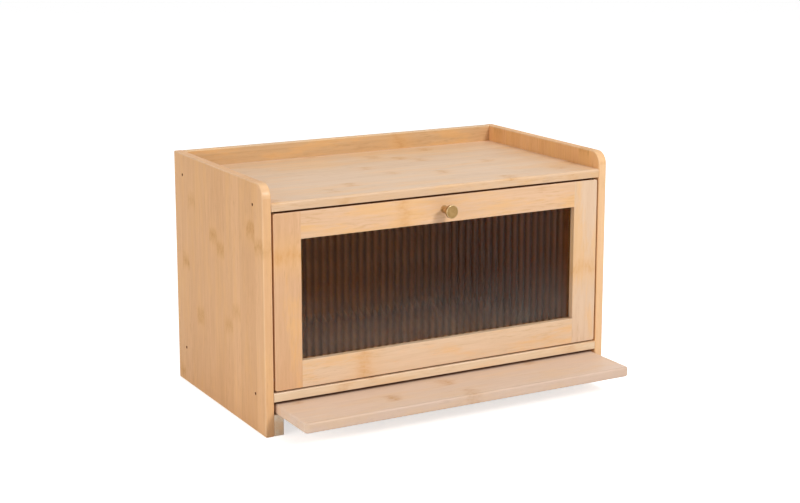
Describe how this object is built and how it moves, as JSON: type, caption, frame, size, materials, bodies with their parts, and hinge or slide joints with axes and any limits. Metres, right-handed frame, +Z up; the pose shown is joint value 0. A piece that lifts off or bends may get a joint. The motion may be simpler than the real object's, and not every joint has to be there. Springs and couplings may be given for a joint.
{
  "type": "bread box with cutting board",
  "caption": "Bread box with a fall-front window door, a low gallery round its top and a cutting board that slides out from a slot under the base.",
  "frame": {"origin": "on the counter, at the middle of the footprint with the cutting board drawn out as stored", "axes": "+X to the right seen from the front, +Y to the back, +Z up"},
  "size_m": [0.4, 0.2936, 0.2505],
  "materials": {
    "bamboo": "clear satin lacquer on solid bamboo",
    "bamboo_pale": "clear satin lacquer on solid bamboo",
    "bamboo_board": "oiled bamboo, matt",
    "pane": "clear, with round ribs on the front",
    "brass": "satin",
    "steel": "bright zinc"
  },
  "bodies": {
    "cabinet": {"left_side_panel": "bamboo", "right_side_panel": "bamboo", "top_board": "bamboo_pale", "base_board": "bamboo_pale", "back_board": "bamboo", "left_runner": "bamboo", "right_runner": "bamboo", "door_stop_strip": "bamboo_pale", "catch_magnets": "steel", "door_stop_pins": "steel", "side_nails": "steel", "back_nails": "steel", "runner_screws": "steel", "strip_screws": "steel"},
    "door": {"left_stile": "bamboo_pale", "right_stile": "bamboo_pale", "top_rail": "bamboo_pale", "bottom_rail": "bamboo_pale", "frame_dowels": "bamboo_board", "reeded_pane": "pane", "top_bead": "bamboo", "bottom_bead": "bamboo", "left_bead": "bamboo", "right_bead": "bamboo", "door_knob": "brass", "knob_screw": "steel", "strike_discs": "steel", "strike_screws": "steel", "left_pivot_pin": "steel", "right_pivot_pin": "steel"},
    "cutting_board": {"cutting_board": "bamboo_board"}
  },
  "joints": [
    {"name": "door_hinge", "type": "hinge", "parent": "cabinet", "child": "door", "pos_m": [0, -0.07525, 0.0562], "axis": [1, 0, 0], "range_deg": [0, 90]},
    {"name": "board_slide", "type": "slide", "parent": "cabinet", "child": "cutting_board", "axis": [0, -1, 0], "range_m": [-0.065, 0.055]}
  ]
}
